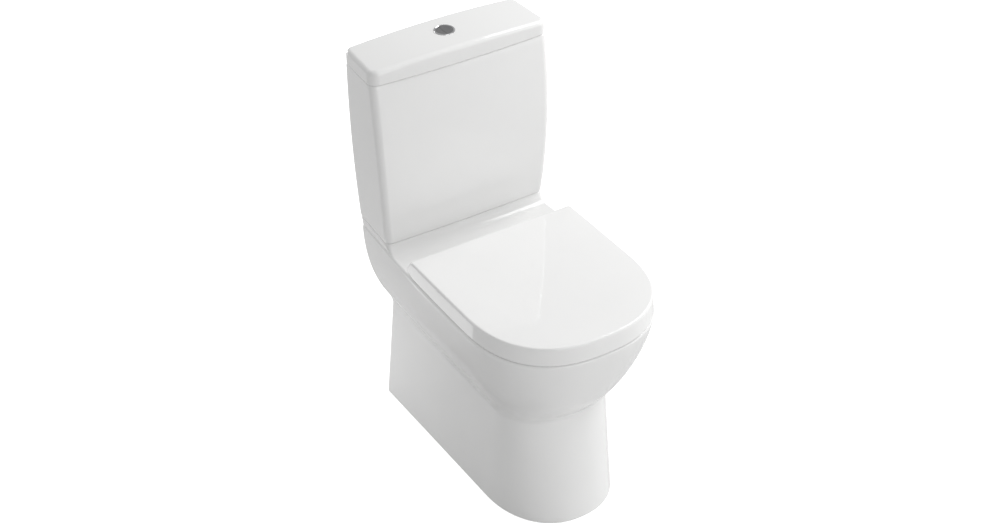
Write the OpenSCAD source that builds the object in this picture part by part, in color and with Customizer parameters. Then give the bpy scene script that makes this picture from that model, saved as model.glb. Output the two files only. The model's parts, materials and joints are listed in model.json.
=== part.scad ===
// Close coupled toilet: pan, cistern, lift-up seat and the fittings inside.
// Millimetres. Origin on the floor under the middle of the object; front is -Y, up is +Z.

/* [Pan] */
// Height of the pan's rim
rim_z = 419; // [405:1:430]
// Half the pan's greatest width, just below the rim
bowl_half_w = 177; // [170:1:184]
// Half the width of the pan's back, where it carries the cistern
back_half_w = 161; // [156:1:165]
// Half the width of the pedestal at the floor
foot_half_w = 120; // [112:1:126]
// Front of the pedestal at the floor
foot_front = -236; // [-250:1:-220]
// Height of the crease where the bowl meets the pedestal
crease_z = 245; // [235:1:255]
// Thickness of the china
china = 11; // [9:1:13]
// Height of the middle of the waste outlet
outlet_z = 180; // [175:1:190]
// Outside radius of the waste outlet
outlet_r = 51; // [45:1:55]

/* [Cistern] */
// Height of the shelf that carries the cistern
shelf_z = 438; // [434:1:442]
// Height of the joint between cistern and lid
cistern_top_z = 771; // [740:1:780]
// Height of the lid's vertical sides
lid_side_h = 27; // [24:1:34]
// How far the lid's top is crowned from side to side
lid_crown = 7; // [4:1:12]

/* [Seat] */
// Height of the top edge of the seat lid
seat_top_z = 455.5; // [453:0.5:458]
// Height of the hinge axis
hinge_z = 441; // [440:0.5:442]
// Distance of the hinge axis behind the middle of the toilet
hinge_y = 76; // [74:1:78]
// Distance between the two seat fixings
hinge_spacing = 155; // [150:1:160]

/* [Flush] */
// Distance of the button and flush valve behind the middle of the toilet
valve_y = 236; // [234:1:238]
// Radius of the hole in the cistern lid
button_hole_r = 18; // [17:0.5:20]
// Travel of each flush button
button_travel = 6; // [4:0.5:7]
// Sideways distance from the middle to the fill valve
fill_x = -125; // [-128:1:-120]
// Distance between the two bolts that clamp cistern and pan
coupling_spacing = 150; // [140:2:160]

/* [Hidden] */
$fn = 48;

// Pan, derived and less often changed
pan_front = -290.3;
pan_back = 284;
belly_h = 202;
waist_half_w = 108;
waist_back_half_w = 100;
waist_front = -192;
bowl_turn = -108;
sump_floor_z = 80;
water_way_y = 64;
hollow_top_z = 392;
trap_r = 32;
trap_bend_r = 45;
trap_low_z = 112;
trap_angle = 60;
shelf_under_z = 420;
deck_under_z = 404;
hinge_x = hinge_spacing / 2;
coupling_x = coupling_spacing / 2;
lug_x = 92;
lug_y = 215;

// Cistern
cistern_back = 288;
cistern_floor = 12;
lid_top_z = cistern_top_z + lid_side_h + lid_crown;
ceiling_z = lid_top_z - 15;
button_y = valve_y + 3;
tank_floor_z = shelf_z + cistern_floor;

// Seat
seat_gap = 1.5;
seat_wall = 4.5;
seat_nose_r = 20.5;
ring_low_z = rim_z + 5;
ring_top_z = ring_low_z + 20;
knuckle_r = 8;
pin_r = 4;
running = 0.05;

// Fittings
rod_x = 8.5;
seal_z = tank_floor_z + 8;
tower_top_z = 650;
cap_z = 640;
lever_z = cap_z + 29;
lever_pivot_x = fill_x - 8;
float_rod_x = fill_x + 24;

china_white = [0.93, 0.93, 0.92];
seat_white = [0.95, 0.95, 0.94];

// ---- Numbers ----

function blend(a, b, t) = a + (b - a) * t;
// Smooth maximum of a and b, rounded over k
function smooth_max(a, b, k) = (a + b + sqrt((a - b) * (a - b) + k * k)) / 2;
// Parabola through a at t = 0, b at t = 0.5 and c at t = 1
function through(a, b, c, t) = a * (1 - t) * (1 - 2 * t) + 4 * b * t * (1 - t) + c * t * (2 * t - 1);
function clamp(t) = max(0, min(1, t));

// ---- Plans: each lists its right half from front to back ----

arc_steps = 14;
side_steps = 7;
corner_steps = 4;
// A D plan is [half width, half width at back, front, end of the front arc, back, fullness, corner radius]
function d_half(p) = concat(
    [for (i = [0:arc_steps - 1])
        let (a = (i + 0.5) * 90 / arc_steps,
             k = pow(pow(cos(a), p[5]) + pow(sin(a), p[5]), -1 / p[5]))
        [p[0] * sin(a) * k, p[3] - (p[3] - p[2]) * cos(a) * k]],
    [for (i = [0:side_steps])
        let (t = i / side_steps)
        [p[0] - (p[0] - p[1]) * t * t, blend(p[3], p[4] - p[6], t)]],
    [for (i = [1:corner_steps])
        let (a = i * 90 / corner_steps)
        [p[1] - p[6] + p[6] * cos(a), p[4] - p[6] + p[6] * sin(a)]],
    [for (t = [0.6, 0.2]) [(p[1] - p[6]) * t, p[4]]]
);
// The same plan with every side moved in by d
function d_inset(p, d) = [p[0] - d, p[1] - d, p[2] + d, p[3], p[4] - d, p[5], max(p[6] - d, 2)];
// Plan part of the way from p to q
function d_blend(p, q, t) = [for (i = [0:6]) blend(p[i], q[i], t)];

front_steps = 5;
// A tank plan is [half width in front, half width at back, front, back, front radius, back radius, bow]
function tank_half(p) = let (edge = p[2] + p[6] * pow((p[0] - p[4]) / p[0], 2)) concat(
    [for (i = [0:front_steps - 1])
        let (x = (p[0] - p[4]) * (i + 0.5) / front_steps)
        [x, p[2] + p[6] * pow(x / p[0], 2)]],
    [for (i = [0:corner_steps])
        let (a = i * 90 / corner_steps)
        [p[0] - p[4] + p[4] * sin(a), edge + p[4] - p[4] * cos(a)]],
    [for (t = [0.33, 0.67])
        [blend(p[0], p[1], t), blend(edge + p[4], p[3] - p[5], t)]],
    [for (i = [0:corner_steps])
        let (a = i * 90 / corner_steps)
        [p[1] - p[5] + p[5] * cos(a), p[3] - p[5] + p[5] * sin(a)]],
    [for (t = [0.66, 0.22]) [(p[1] - p[5]) * t, p[3]]]
);
function tank_inset(p, d) =
    [p[0] - d, p[1] - d, p[2] + d, p[3] - d, max(p[4] - d, 2), max(p[5] - d, 2), p[6]];

// Closed ring at height z from a right half
function ring(half, z) = concat(
    [for (p = half) [p[0], p[1], z]],
    [for (i = [len(half) - 1:-1:0]) [-half[i][0], half[i][1], z]]
);

// ---- Skins ----

// Solid under a stack of rings; wrap joins the last ring to the first
module skin(rings, wrap = false) {
    n = len(rings[0]);
    m = len(rings);
    sides = [
        for (k = [0:m - (wrap ? 1 : 2)], i = [0:n - 1])
        let (a = k * n + i, b = k * n + (i + 1) % n)
        let (c = ((k + 1) % m) * n + i, d = ((k + 1) % m) * n + (i + 1) % n)
        each [[a, d, b], [a, c, d]]
    ];
    caps = wrap ? [] : [[for (i = [0:n - 1]) i], [for (i = [n - 1:-1:0]) (m - 1) * n + i]];
    polyhedron([for (r = rings, p = r) p], concat(sides, caps));
}

// Tube between two heights
module tube(r_out, r_in, z0, z1) {
    translate([0, 0, z0])
        difference() {
            cylinder(r = r_out, h = z1 - z0);
            translate([0, 0, -1]) cylinder(r = r_in, h = z1 - z0 + 2);
        }
}

// Cylinder along X between two places
module rod_x_axis(r, x0, x1) {
    translate([x0, 0, 0]) rotate([0, 90, 0]) cylinder(r = r, h = x1 - x0);
}

// A copy on each side of the middle
module both_sides(x) {
    for (s = [-1, 1]) translate([s * x, 0, 0]) children();
}

// ---- Pan ----

function pedestal_plan(z) = let (t = z / crease_z)
    [blend(foot_half_w, waist_half_w, t), blend(foot_half_w + 2, waist_back_half_w, t),
     blend(foot_front, waist_front, t), blend(-88, -107, t), pan_back - 4, 2.2, 4];
function bowl_plan(z) =
    let (u = clamp((rim_z - z) / belly_h))
    let (side = 1 - pow(1 - pow(u, 1.38), 0.63), rear = 1 - pow(1 - pow(u, 1.9), 0.6))
    [bowl_half_w - 91 * side, back_half_w - 85 * rear, pan_front + 114 * side,
     bowl_turn + 44 * side, pan_back, 2.4, 6];
// Outside of the pan: bowl and pedestal run into each other in a soft crease
function pan_plan(z) =
    let (p = pedestal_plan(min(z, crease_z + 20)), b = bowl_plan(z), t = clamp((z - 225) / 40))
    [smooth_max(p[0], b[0], 9), smooth_max(p[1], b[1], 7), -smooth_max(-p[2], -b[2], 14),
     blend(p[3], b[3], t), blend(p[4], b[4], t), blend(p[5], b[5], t), blend(p[6], b[6], t)];
// Inside of the bowl, from under the rim down to the sump
mouth = [122, 72, -238, -110, 50, 2.2, 50];
sump = [46, 44, -95, -55, 22, 2.2, 12];
function bowl_inside(z) =
    let (s = clamp((372 - z) / (372 - sump_floor_z)))
    d_blend(d_inset(mouth, -11), sump, 0.25 * s + 0.75 * sin(90 * s));
function bowl_outside(z) = d_inset(bowl_inside(z), -china);

pan_edge_r = 5;
function pan_rings() = concat(
    [for (z = [sump_floor_z - china, 100, 150, 200, 250, 300, 350, hollow_top_z - 6])
        ring(d_half(bowl_outside(z)), z)],
    [ring(d_half(d_blend(bowl_outside(hollow_top_z), d_inset(pan_plan(hollow_top_z), china), 0.5)),
          hollow_top_z)],
    [for (z = [hollow_top_z - 6, 350, 310, 280, 262, 248, 236, 200, 100, 0])
        ring(d_half(d_inset(pan_plan(z), china)), z)],
    [for (z = concat([for (z = [0:40:200]) z], [for (z = [208:7:264]) z], [for (z = [278:19:411]) z]))
        ring(d_half(pan_plan(z)), z)],
    [for (a = [30, 60, 90])
        ring(d_half(d_inset(pan_plan(rim_z - pan_edge_r), pan_edge_r * (1 - cos(a)))),
             rim_z - pan_edge_r * (1 - sin(a)))],
    [for (a = [90, 45, 0])
        ring(d_half(d_inset(mouth, -pan_edge_r * (1 - cos(a)))), rim_z - pan_edge_r * (1 - sin(a)))],
    [ring(d_half(mouth), 388), ring(d_half(d_inset(mouth, -11)), 380)],
    [for (z = [372, 345, 310, 275, 240, 200, 165, 130, sump_floor_z]) ring(d_half(bowl_inside(z)), z)]
);

// Shelf under the cistern, with a hollow curve down to the deck
function shelf_plan(z) =
    let (t = clamp((z - rim_z) / (shelf_z - rim_z)), foot = 20 * (1 - sqrt(1 - pow(1 - t, 2))))
    [bowl_half_w - 8.8 + 2.3 * t, back_half_w - 0.4 + 2.4 * t, 167.5 - foot, pan_back - 0.5,
     blend(4, 12, t), 5, 3];
module shelf() {
    skin(concat(
        [ring(tank_half(tank_inset(shelf_plan(rim_z), 2)), rim_z - 9)],
        [for (z = [rim_z - 0.5, rim_z + 2, rim_z + 5, rim_z + 9, rim_z + 14, shelf_z - 2])
            ring(tank_half(shelf_plan(z)), z)],
        [ring(tank_half(tank_inset(shelf_plan(shelf_z), 2)), shelf_z)]
    ));
}

// Trap: from the sump up a slope, over the weir and down to the outlet, in three bends
trap_y = 30;
bend_rise = trap_bend_r * (1 - cos(trap_angle));
bend_run = trap_bend_r * sin(trap_angle);
weir_z = outlet_z + 2 * bend_rise;
slope_rise = weir_z - trap_low_z - 2 * bend_rise;
weir_y = trap_y + 2 * bend_run + slope_rise / tan(trap_angle);
outlet_start = weir_y + 2 * bend_run;
// Stations along the trap: [y, z, angle of climb]
function trap_path(start_y) = concat(
    [[start_y, trap_low_z, 0]],
    [for (a = [0:20:trap_angle])
        [trap_y + trap_bend_r * sin(a), trap_low_z + trap_bend_r * (1 - cos(a)), a]],
    [for (a = [trap_angle:-20:-trap_angle])
        [weir_y - trap_bend_r * sin(a), weir_z - trap_bend_r * (1 - cos(a)), a]],
    [for (a = [20 - trap_angle:20:0])
        [outlet_start + trap_bend_r * sin(a), outlet_z + trap_bend_r * (1 - cos(a)), a]],
    [[outlet_start + 14, outlet_z, 0]]
);
pipe_sides = 20;
module trap_pipe(r, start_y) {
    skin([
        for (s = trap_path(start_y))
        [for (i = [0:pipe_sides - 1])
            let (a = i * 360 / pipe_sides)
            [-r * cos(a), s[0] - r * sin(a) * sin(s[2]), s[1] + r * sin(a) * cos(s[2])]]
    ]);
}

module pan() {
    color(china_white)
        difference() {
            union() {
                skin(pan_rings());
                shelf();
                // Walls of the water way, hung under the deck
                translate([-46, water_way_y, 352]) cube([92, pan_back - 6 - water_way_y, 60]);
                trap_pipe(trap_r + china - 1, trap_y - 3.5);
                translate([0, outlet_start - 1, outlet_z])
                    rotate([-90, 0, 0]) cylinder(r = outlet_r, h = pan_back - outlet_start);
                both_sides(lug_x)
                    translate([-20, lug_y - 22, 0]) cube([40, 44, 20]);
            }
            trap_pipe(trap_r, -20);
            translate([0, outlet_start - 1, outlet_z])
                rotate([-90, 0, 0]) cylinder(r = trap_r, h = 30);
            translate([0, outlet_start + 12, outlet_z])
                rotate([-90, 0, 0]) cylinder(r = outlet_r - 7, h = 100);
            // Deck and shelf are thin beside the water way
            for (s = [0, 1]) mirror([s, 0, 0]) {
                translate([56, 60, 380]) cube([84, 102, deck_under_z - 380]);
                translate([56, 161, 380]) cube([84, 100, shelf_under_z - 380]);
            }
            // Access from behind
            difference() {
                translate([-80, 255, -1]) cube([160, 40, 251]);
                translate([0, 250, outlet_z]) rotate([-90, 0, 0]) cylinder(r = outlet_r, h = 50);
            }
            for (s = [0, 1]) mirror([s, 0, 0]) translate([56, 255, 262]) cube([48, 40, 140]);
            // Water way from the cistern to the bowl
            translate([0, valve_y, 370]) cylinder(r = 34, h = 80);
            translate([0, valve_y, 416]) cylinder(r = 44, h = 40);
            translate([-34, 30, 366]) cube([68, valve_y - 10, 26]);
            // Fixing holes
            both_sides(hinge_x) translate([0, hinge_y, 390]) cylinder(r = 6, h = 40);
            both_sides(coupling_x) translate([0, valve_y, 400]) cylinder(r = 6, h = 60);
            both_sides(lug_x) translate([0, lug_y, -1]) cylinder(r = 5, h = 30);
            translate([fill_x, valve_y, 400]) cylinder(r = 18, h = 60);
        }
}

// ---- Cistern ----

function cistern_plan(z) = let (t = (z - shelf_z) / (cistern_top_z - shelf_z))
    [through(170.5, 181, 183.4, t), through(163, 174.5, 178, t), through(167, 160.5, 176, t),
     cistern_back, through(12, 13, 14, t), 8, 3 + 3 * t];
lid_plan = [183.8, 179, 175, 290.3, 18, 15, 6];

module cistern() {
    color(china_white)
        difference() {
            skin(concat(
                [ring(tank_half(tank_inset(cistern_plan(shelf_z), 2)), shelf_z)],
                [for (z = [shelf_z + 2, 480, 530, 590, 650, 710, cistern_top_z - 2.5])
                    ring(tank_half(cistern_plan(z)), z)],
                [ring(tank_half(tank_inset(cistern_plan(cistern_top_z), 2)), cistern_top_z)],
                [for (z = [cistern_top_z, 650, 530, tank_floor_z + 14])
                    ring(tank_half(tank_inset(cistern_plan(z), china)), z)],
                [ring(tank_half(tank_inset(cistern_plan(tank_floor_z), china + 3)), tank_floor_z)]
            ));
            translate([0, valve_y, shelf_z - 10]) cylinder(r = 32, h = 40);
            both_sides(coupling_x) translate([0, valve_y, shelf_z - 10]) cylinder(r = 5, h = 40);
            translate([fill_x, valve_y, shelf_z - 10]) cylinder(r = 11.5, h = 40);
        }
}

// Ring of the crowned lid top: plan moved in by d, drop below the crown
function crowned(half, drop) = concat(
    [for (p = half) [p[0], p[1], lid_top_z - drop - lid_crown * pow(p[0] / lid_plan[0], 2)]],
    [for (i = [len(half) - 1:-1:0])
        [-half[i][0], half[i][1], lid_top_z - drop - lid_crown * pow(half[i][0] / lid_plan[0], 2)]]
);
// Half plan shrunk towards the button
function shrunk(half, k) = [for (p = half) [p[0] * k, blend(button_y, p[1], k)]];

module cistern_lid() {
    top = tank_half(tank_inset(lid_plan, 6));
    color(china_white)
        difference() {
            skin(concat(
                [ring(shrunk(tank_half(tank_inset(lid_plan, 14)), 0.5), ceiling_z)],
                [ring(tank_half(tank_inset(lid_plan, 14)), ceiling_z)],
                [for (z = [ceiling_z - 6, cistern_top_z + 0.2])
                    ring(tank_half(tank_inset(lid_plan, 8)), z)],
                [ring(tank_half(tank_inset(lid_plan, 1.5)), cistern_top_z + 0.2)],
                [ring(tank_half(lid_plan), cistern_top_z + 2)],
                [for (a = [0, 30, 60])
                    crowned(tank_half(tank_inset(lid_plan, 6 * (1 - cos(a)))), 6 * (1 - sin(a)))],
                [for (k = [1, 0.66, 0.33, 0.05]) crowned(shrunk(top, k), 0)]
            ));
            translate([0, button_y, ceiling_z - 20]) cylinder(r = button_hole_r, h = 60);
        }
}

// ---- Seat ----

// Rear end of the seat lid in side view: round about the hinge below, sloping above
function lid_back(z) = hinge_y + min(
    sqrt(max(0, pow(seat_nose_r, 2) - pow(min(0, z - hinge_z), 2))),
    7 + (seat_top_z - z) * 0.67);
function seat_lid_plan(z) =
    let (t = clamp((z - rim_z) / (seat_top_z - rim_z)))
    [blend(175.4, 174, t), blend(172.5, 173, t), blend(-290, -285, t), -104, lid_back(z), 2.45, 6];
function ring_plan(d) = d_inset([167.5, 163, -279, -106, 62, 2.4, 14], d);
ring_mouth = [110, 78, -224, -112, 34, 2.2, 50];

module seat_ring() {
    edge = 6;
    web = hinge_y - 58;
    color(seat_white)
        difference() {
            union() {
                skin(concat(
                    [ring(d_half(ring_plan(3)), ring_low_z)],
                    [ring(d_half(ring_plan(0)), ring_low_z + 3)],
                    [for (a = [0, 45, 90])
                        ring(d_half(ring_plan(edge * (1 - cos(a)))), ring_top_z - edge * (1 - sin(a)))],
                    [for (a = [90, 45, 0])
                        ring(d_half(d_inset(ring_mouth, -edge * (1 - cos(a)))),
                             ring_top_z - edge * (1 - sin(a)) - 2)],
                    [ring(d_half(ring_mouth), ring_low_z + 3)],
                    [ring(d_half(d_inset(ring_mouth, -3)), ring_low_z)]
                ), wrap = true);
                both_sides(hinge_x - 22.5) translate([0, hinge_y, hinge_z]) rod_x_axis(knuckle_r, -9, 9);
                both_sides(hinge_x - 22.5)
                    translate([-9, hinge_y - web - 3, hinge_z - 6]) cube([18, web + 3, 9]);
            }
            both_sides(hinge_x - 22.5)
                translate([0, hinge_y, hinge_z]) rod_x_axis(pin_r + running, -20, 20);
        }
}

module seat_lid() {
    low = rim_z + seat_gap;
    under = seat_top_z - seat_wall;
    heights = [low + 2, 427, 433, 439, 445, under];
    color(seat_white)
        difference() {
            union() {
                skin(concat(
                    [ring(d_half(d_inset(seat_lid_plan(under), 12)), under)],
                    [for (z = [under - 3, 445, 439, 433, 427, low])
                        ring(d_half(d_inset(seat_lid_plan(z), seat_wall)), z)],
                    [ring(d_half(d_inset(seat_lid_plan(low), 1.5)), low)],
                    [for (z = heights) ring(d_half(seat_lid_plan(z)), z)],
                    [for (a = [30, 60, 90])
                        ring(d_half(d_inset(seat_lid_plan(seat_top_z), 4 * (1 - cos(a)))),
                             seat_top_z - 4 * (1 - sin(a)))],
                    [ring(d_half(d_inset(seat_lid_plan(seat_top_z), 60)), seat_top_z + 1.2)]
                ));
                both_sides(hinge_x + 22.5) translate([0, hinge_y, hinge_z]) rod_x_axis(knuckle_r, -9, 9);
                both_sides(hinge_x + 22.5)
                    translate([-9, hinge_y - 7, hinge_z]) cube([18, 12, under - hinge_z + 1]);
            }
            both_sides(hinge_x + 22.5)
                translate([0, hinge_y, hinge_z]) rod_x_axis(pin_r + running, -20, 20);
            // Room for the hinge posts and for the ring's knuckles
            both_sides(hinge_x) translate([-13, hinge_y - 14, rim_z]) cube([26, 50, under - rim_z]);
        }
}

// Rubber buffer with a domed foot, standing between two heights
module buffer(r, z0, z1) {
    translate([0, 0, z0])
        rotate_extrude()
            polygon([[0, 0], [r - 2, 0], [r, 2], [r, z1 - z0], [0, z1 - z0]]);
}

// Places on the seat's arms, as far from the middle as the ring's width allows
module seat_places() {
    both_sides(138) {
        translate([0, -125, 0]) children();
        translate([0, 30, 0]) children();
    }
}

module ring_buffers() {
    color([0.85, 0.85, 0.84]) seat_places() buffer(8, rim_z, ring_low_z);
}

module lid_buffers() {
    color([0.85, 0.85, 0.84]) seat_places() buffer(6, ring_top_z + 0.1, seat_top_z - seat_wall);
}

// Post: foot on the deck, narrow waist under the axis, round head about the pin
module hinge_post(side) {
    color("silver")
        translate([side * hinge_x, hinge_y, 0])
            difference() {
                union() {
                    translate([0, 0, rim_z + 1]) cylinder(r = 11, h = 1.4);
                    translate([-11.5, -5, rim_z + 1]) cube([23, 10, hinge_z - rim_z - 1]);
                    translate([0, 0, hinge_z]) rod_x_axis(knuckle_r, -11.5, 11.5);
                }
                translate([0, 0, hinge_z]) rod_x_axis(pin_r, -20, 20);
            }
}

module hinge_pin(side) {
    color("dimgray")
        translate([side * hinge_x, hinge_y, hinge_z])
            rotate([0, 0, side > 0 ? 0 : 180]) rod_x_axis(pin_r, -31, 31);
}

module hinge_studs() {
    color("silver") both_sides(hinge_x) translate([0, hinge_y, 366]) cylinder(r = 4, h = rim_z - 365);
}

module hinge_gaskets() {
    color("dimgray") both_sides(hinge_x) translate([0, hinge_y, 0]) tube(10, 4, rim_z, rim_z + 1);
}

module hinge_washers() {
    color("gainsboro")
        both_sides(hinge_x) translate([0, hinge_y, 0]) tube(13, 4, deck_under_z - 3, deck_under_z);
}

// Wing nut with its bore up the Z axis and its top at z
module wing_nut(r, z) {
    translate([0, 0, z - 12])
        difference() {
            union() {
                cylinder(r = r + 4, h = 12);
                translate([-r - 14, -2, 2]) cube([2 * r + 28, 4, 9]);
            }
            translate([0, 0, -1]) cylinder(r = r, h = 14);
        }
}

module hinge_wing_nuts() {
    color("gainsboro")
        both_sides(hinge_x) translate([0, hinge_y, 0]) wing_nut(4, deck_under_z - 3);
}

// ---- Flush button ----

button_r = button_hole_r - 2.2;
button_split = -2.5;
split_gap = 0.3;
module button_housing() {
    color("silver")
        translate([0, button_y, 0])
            rotate_extrude()
                polygon([
                    [button_hole_r - 2, ceiling_z - 14], [button_hole_r - 0.3, ceiling_z - 14],
                    [button_hole_r - 0.3, lid_top_z + 0.1], [button_hole_r + 1.4, lid_top_z + 0.1],
                    [button_hole_r + 1, lid_top_z + 1], [button_hole_r - 0.8, lid_top_z + 1.6],
                    [button_hole_r - 2, lid_top_z + 0.8]
                ]);
}

module button_clamp_nut() {
    color("gainsboro")
        translate([0, button_y, 0])
            difference() {
                tube(button_hole_r + 8, button_hole_r - 0.3, ceiling_z - 8, ceiling_z);
                for (a = [0:45:315])
                    rotate([0, 0, a]) translate([button_hole_r + 8, 0, ceiling_z - 9])
                        cylinder(r = 2.5, h = 12);
            }
}

// Part of the round button on one side of the split, with a dished top
module button_part(side) {
    translate([0, button_y, 0])
        difference() {
            translate([0, 0, lid_top_z - 14]) cylinder(r = button_r, h = 14.6);
            translate([0, 0, lid_top_z + 61]) sphere(r = 61.6, $fn = 96);
            translate([button_split - (side > 0 ? 60 - split_gap : split_gap), -30, lid_top_z - 20])
                cube([60, 60, 40]);
        }
}

module full_flush_button() {
    color("silver") button_part(1);
}

module half_flush_button() {
    color("silver") button_part(-1);
}

module push_rod(x) {
    low = tower_top_z + 8 + button_travel;
    translate([x, button_y, low]) cylinder(r = 2.5, h = lid_top_z - 14 - low);
}

module full_push_rod() { color("gainsboro") push_rod(rod_x); }
module half_push_rod() { color("gainsboro") push_rod(-rod_x); }

// ---- Flush valve ----

module flush_valve_base() {
    color("gainsboro")
        translate([0, valve_y, 0]) {
            difference() {
                union() {
                    translate([0, 0, 408]) cylinder(r = 31, h = tank_floor_z - 407);
                    translate([0, 0, tank_floor_z]) cylinder(r = 37, h = 4);
                    translate([0, 0, tank_floor_z]) cylinder(r = 30, h = 8);
                }
                translate([0, 0, 400]) cylinder(r = 26, h = 80);
            }
        }
}

module flush_valve_tower() {
    color("gainsboro")
        translate([0, valve_y, 0]) {
            tube(37.5, 35, 505, tower_top_z);
            for (a = [45:90:315])
                rotate([0, 0, a])
                    translate([33.5, -4, tank_floor_z + 4]) cube([3, 8, 505 - tank_floor_z - 3]);
        }
}

module flush_valve_head() {
    color("steelblue")
        translate([0, valve_y, 0])
            difference() {
                union() {
                    translate([0, 0, tower_top_z]) cylinder(r = 38, h = 4);
                    translate([0, 0, tower_top_z + 3]) cylinder(r = 24, h = 22);
                }
                both_sides(rod_x)
                    translate([0, button_y - valve_y, tower_top_z + 6]) cylinder(r = 2.5 + 2 * running, h = 40);
            }
}

module overflow_tube() {
    color("gainsboro")
        translate([0, valve_y, 0]) {
            tube(17, 15, seal_z + 3, 625);
            tube(31, 15, seal_z + 3, seal_z + 6);
        }
}

module flush_seal() {
    color("dimgray") translate([0, valve_y, 0]) tube(32, 20, seal_z, seal_z + 3);
}

module half_flush_float() {
    color("steelblue") translate([0, valve_y, 0]) tube(33, 17, 545, 585);
}

// Hexagonal nut with a round bore
module hex_nut(r_out, r_in, z0, z1) {
    translate([0, 0, z0])
        difference() {
            cylinder(r = r_out, h = z1 - z0, $fn = 6);
            translate([0, 0, -1]) cylinder(r = r_in, h = z1 - z0 + 2);
        }
}

module flush_valve_nut() {
    color("gainsboro") translate([0, valve_y, 0]) hex_nut(36.5, 31, 426, shelf_z);
}

// ---- Coupling between cistern and pan ----

module coupling_gasket() {
    color("dimgray")
        translate([0, valve_y, 0])
            rotate_extrude()
                polygon([[37.5, 417], [41, 417], [43, 420], [43, shelf_z - 3], [41, shelf_z], [37.5, shelf_z]]);
}

module coupling_bolts() {
    color("silver")
        both_sides(coupling_x)
            translate([0, valve_y, 0]) {
                translate([0, 0, 392]) cylinder(r = 4, h = tank_floor_z + 4 - 391);
                translate([0, 0, tank_floor_z + 4]) cylinder(r = 7.5, h = 5, $fn = 6);
            }
}

module coupling_rubber_washers() {
    color("dimgray")
        both_sides(coupling_x) translate([0, valve_y, 0]) tube(13, 4, tank_floor_z, tank_floor_z + 4);
}

module coupling_washers() {
    color("silver")
        both_sides(coupling_x) translate([0, valve_y, 0]) tube(13, 4, shelf_under_z - 2, shelf_under_z);
}

module coupling_wing_nuts() {
    color("silver")
        both_sides(coupling_x) translate([0, valve_y, 0]) rotate([0, 0, 90]) wing_nut(4, shelf_under_z - 2);
}

// ---- Fill valve ----

module fill_valve_riser() {
    color("gainsboro")
        translate([fill_x, valve_y, 0])
            difference() {
                union() {
                    translate([0, 0, 392]) cylinder(r = 10.5, h = shelf_z - 400);
                    translate([0, 0, shelf_z - 10]) cylinder(r = 11, h = cistern_floor + 15);
                    translate([0, 0, tank_floor_z + 3]) cylinder(r = 17, h = 5);
                    translate([0, 0, tank_floor_z + 7]) cylinder(r = 12, h = cap_z - tank_floor_z - 7);
                }
                translate([0, 0, 380]) cylinder(r = 5, h = cap_z - 390);
            }
}

module fill_valve_cap() {
    color("steelblue")
        translate([fill_x, valve_y, 0])
            difference() {
                union() {
                    translate([0, 0, cap_z]) cylinder(r = 18, h = 20);
                    for (s = [-1, 1])
                        translate([-13, s * 6 - 1.25, cap_z + 18]) cube([10, 2.5, 15]);
                }
                translate([-8, 0, lever_z]) rotate([90, 0, 0]) cylinder(r = 1.5 + running, h = 40, center = true);
            }
}

module fill_valve_float() {
    color("dimgray")
        translate([fill_x, valve_y, 0]) {
            difference() {
                translate([0, 0, 560]) cylinder(r = 29, h = 45);
                translate([0, 0, 550]) cylinder(r = 12.3, h = 70);
            }
            translate([24, 0, 604]) cylinder(r = 1.5, h = lever_z + 14 - 604);
            translate([24, 0, lever_z - 7]) cylinder(r = 3, h = 3);
        }
}

module fill_valve_lever() {
    color("gainsboro")
        translate([lever_pivot_x, valve_y, lever_z])
            difference() {
                union() {
                    translate([-5, -4.5, -2]) cube([48, 9, 4]);
                    rotate([90, 0, 0]) cylinder(r = 1.5, h = 15, center = true);
                }
                translate([float_rod_x - lever_pivot_x - 4, -2.2, -5]) cube([11, 4.4, 10]);
            }
}

module fill_valve_inlet_washer() {
    color("dimgray") translate([fill_x, valve_y, 0]) tube(16, 11, tank_floor_z, tank_floor_z + 3);
}

module fill_valve_nut() {
    color("gainsboro") translate([fill_x, valve_y, 0]) hex_nut(16, 11, shelf_z - 9, shelf_z);
}

pan();
cistern();
cistern_lid();
seat_ring();
seat_lid();
ring_buffers();
lid_buffers();
hinge_post(-1);  // hinge_post_left
hinge_post(1);  // hinge_post_right
hinge_pin(-1);  // hinge_pin_left
hinge_pin(1);  // hinge_pin_right
hinge_studs();
hinge_gaskets();
hinge_washers();
hinge_wing_nuts();
button_housing();
button_clamp_nut();
full_flush_button();
half_flush_button();
full_push_rod();
half_push_rod();
flush_valve_base();
flush_valve_tower();
flush_valve_head();
overflow_tube();
flush_seal();
half_flush_float();
flush_valve_nut();
coupling_gasket();
coupling_bolts();
coupling_rubber_washers();
coupling_washers();
coupling_wing_nuts();
fill_valve_riser();
fill_valve_cap();
fill_valve_float();
fill_valve_lever();
fill_valve_inlet_washer();
fill_valve_nut();
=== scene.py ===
"""Looks of a close coupled toilet: glazed china, glossy seat and fittings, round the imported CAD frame."""
import json
import math

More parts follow.
